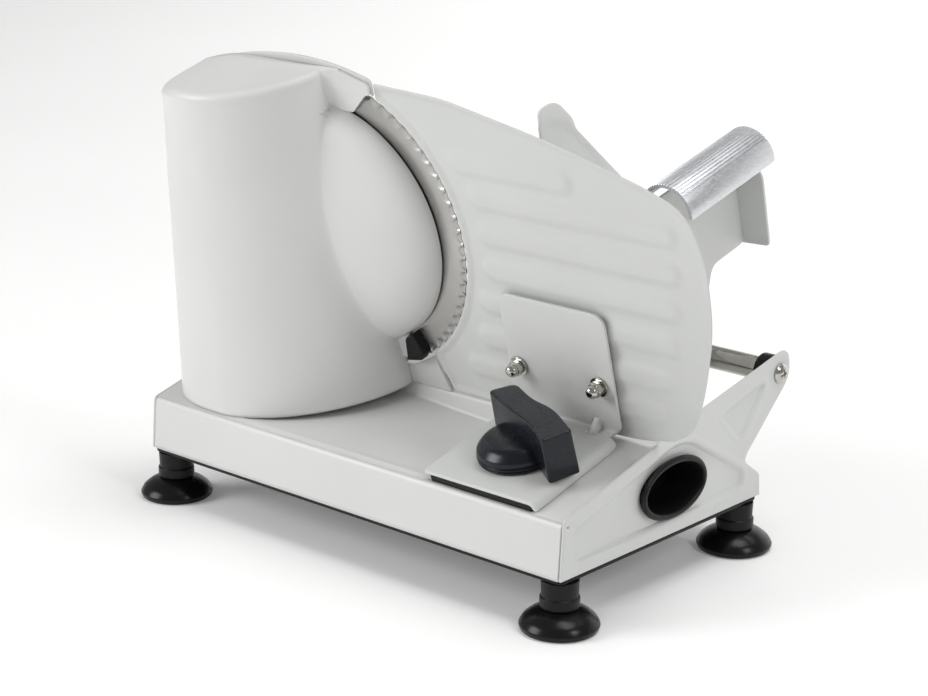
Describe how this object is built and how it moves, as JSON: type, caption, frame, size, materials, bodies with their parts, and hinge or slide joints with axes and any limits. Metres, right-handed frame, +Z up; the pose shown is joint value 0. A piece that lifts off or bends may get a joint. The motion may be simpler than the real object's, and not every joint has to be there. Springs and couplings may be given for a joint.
{
  "type": "deli meat slicer",
  "caption": "Electric deli slicer with a tilted serrated blade, adjustable gauge plate, sliding food carriage and suction feet.",
  "frame": {"origin": "middle of the machine's footprint box, on the floor plane under the suction cups", "axes": "+Z up, +X along the long side towards the switch panel, +Y towards the food carriage"},
  "size_m": [0.3916, 0.2618, 0.2852],
  "materials": {
    "body_paint": "smooth light warm-grey paint",
    "sheet_paint": "satin light grey paint on folded sheet",
    "black_plastic": "moulded black plastic",
    "rubber": "soft black rubber",
    "knob_plastic": "satin blue-black plastic",
    "blade_steel": "circular brushed steel",
    "machined_steel": "turned steel",
    "chrome": "bright plated",
    "brushed_aluminium": "extruded, fine ribs",
    "bearing_bronze": "sintered bronze",
    "copper_winding": "varnished copper winding",
    "nylon": "natural nylon",
    "circuit_board": "green circuit board"
  },
  "bodies": {
    "base": {"base_shell": "body_paint", "end_panel_right": "sheet_paint", "end_panel_left": "sheet_paint", "bottom_plate": "black_plastic", "foot_stem_front_right": "black_plastic", "suction_cup_front_right": "rubber", "foot_stem_front_left": "black_plastic", "suction_cup_front_left": "rubber", "foot_stem_rear_right": "black_plastic", "suction_cup_rear_right": "rubber", "foot_stem_rear_left": "black_plastic", "suction_cup_rear_left": "rubber", "switch_cup": "black_plastic", "switch_body": "black_plastic", "cord_gland": "black_plastic", "rectifier_board": "circuit_board", "motor_housing": "body_paint", "back_plate": "sheet_paint", "guard_wedge": "black_plastic", "gear_frame": "brushed_aluminium", "blade_bearing": "bearing_bronze", "motor_can": "machined_steel", "motor_end_bell": "brushed_aluminium", "motor_ring": "black_plastic", "gauge_guide": "black_plastic", "slide_rod": "chrome", "rod_bumper_right": "rubber", "rod_bumper_left": "rubber", "rod_screw_right": "chrome", "rod_screw_left": "chrome"},
    "rocker": {"rocker": "black_plastic"},
    "rotor": {"armature": "copper_winding", "worm_shaft": "machined_steel", "cooling_fan": "black_plastic"},
    "blade": {"blade": "blade_steel", "blade_shaft": "machined_steel", "blade_bolt": "black_plastic", "worm_wheel": "nylon"},
    "gauge": {"gauge_plate": "sheet_paint", "gauge_bracket": "sheet_paint", "follower_pin": "machined_steel", "gauge_screw_left": "chrome", "gauge_screw_right": "chrome", "washer_left": "chrome", "washer_right": "chrome", "acorn_nut_left": "chrome", "acorn_nut_right": "chrome"},
    "knob": {"thickness_knob": "knob_plastic", "cam_disc": "nylon", "knob_screw": "machined_steel"},
    "slider": {"slider_bush_left": "bearing_bronze", "slider_bush_right": "bearing_bronze"},
    "carriage": {"slider_block": "black_plastic", "carriage_table": "sheet_paint", "carriage_wall": "sheet_paint", "carriage_grip": "brushed_aluminium", "glide_shoe": "black_plastic", "guide_rod": "chrome"},
    "pusher": {"pusher_plate": "black_plastic", "pusher_handle": "black_plastic"}
  },
  "joints": [
    {"name": "rocker_tilt", "type": "hinge", "parent": "base", "child": "rocker", "pos_m": [0.1259, -0.01644, 0.0595], "axis": [0, 1, 0], "range_deg": [0, 13.75]},
    {"name": "blade_spin", "type": "hinge", "parent": "base", "child": "blade", "pos_m": [-0.0699, -0.04804, 0.18549], "axis": [0, 0.9652, 0.2613], "continuous": true},
    {"name": "motor_spin", "type": "hinge", "parent": "base", "child": "rotor", "pos_m": [-0.1059, -0.05172, 0.11374], "axis": [0, -0.2613, 0.9652], "continuous": true},
    {"name": "knob_turn", "type": "hinge", "parent": "base", "child": "knob", "pos_m": [0.0835, -0.06608, 0.07877], "axis": [0, 0.2613, -0.9652], "range_deg": [0, 165]},
    {"name": "gauge_slide", "type": "slide", "parent": "base", "child": "gauge", "axis": [0, -0.9652, -0.2613], "range_m": [0, 0.015]},
    {"name": "carriage_slide", "type": "slide", "parent": "base", "child": "slider", "axis": [1, 0, 0], "range_m": [-0.145, 0.04]},
    {"name": "carriage_lift", "type": "hinge", "parent": "slider", "child": "carriage", "pos_m": [0.0165, 0.09448, 0.10297], "axis": [-1, 0, 0], "range_deg": [0, 70]},
    {"name": "pusher_slide", "type": "slide", "parent": "carriage", "child": "pusher", "axis": [0, -0.9652, -0.2613], "range_m": [-0.036, 0.055]}
  ],
  "couplings": [
    {"joint": "motor_spin", "follows": "blade_spin", "ratio": -40},
    {"joint": "knob_turn", "follows": "gauge_slide", "rad_per_m": 191.99}
  ]
}
